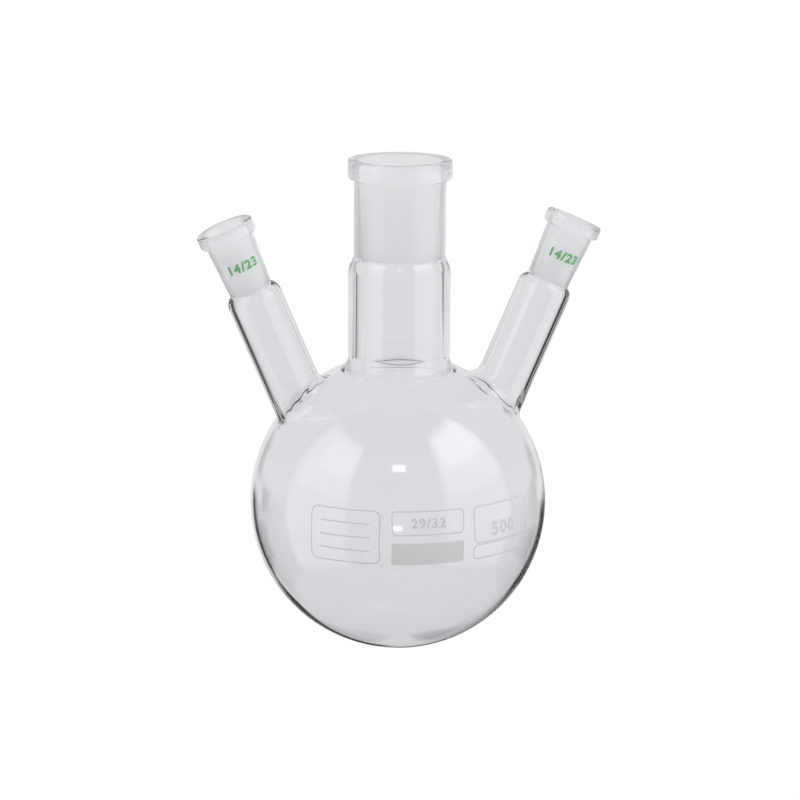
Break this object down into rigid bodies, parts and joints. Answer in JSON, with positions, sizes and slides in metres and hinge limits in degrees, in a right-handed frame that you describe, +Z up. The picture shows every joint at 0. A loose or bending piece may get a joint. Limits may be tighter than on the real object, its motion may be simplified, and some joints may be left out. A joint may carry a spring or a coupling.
{
  "type": "three neck flask",
  "caption": "Round-bottom laboratory flask of clear glass: an upright centre neck between slanted side necks, with beaded rims and ground sockets.",
  "frame": {"origin": "lowest point of the bulb, on the axis of the centre neck", "axes": "+Z up along the centre neck, -Y to the side with the marks, +X towards the right side neck as seen from there"},
  "size_m": [0.1426, 0.1051, 0.175],
  "materials": {
    "clear_glass": "clear and fire polished, matt and milky on the ground faces inside the joints",
    "patch_enamel": "thin matt fired enamel that takes pencil",
    "white_enamel": "thin fired enamel print",
    "green_enamel": "thin fired enamel print"
  },
  "bodies": {
    "root": {"flask": "clear_glass", "writing_patch": "patch_enamel", "bulb_marks": "white_enamel", "neck_marks": "green_enamel"}
  },
  "joints": []
}
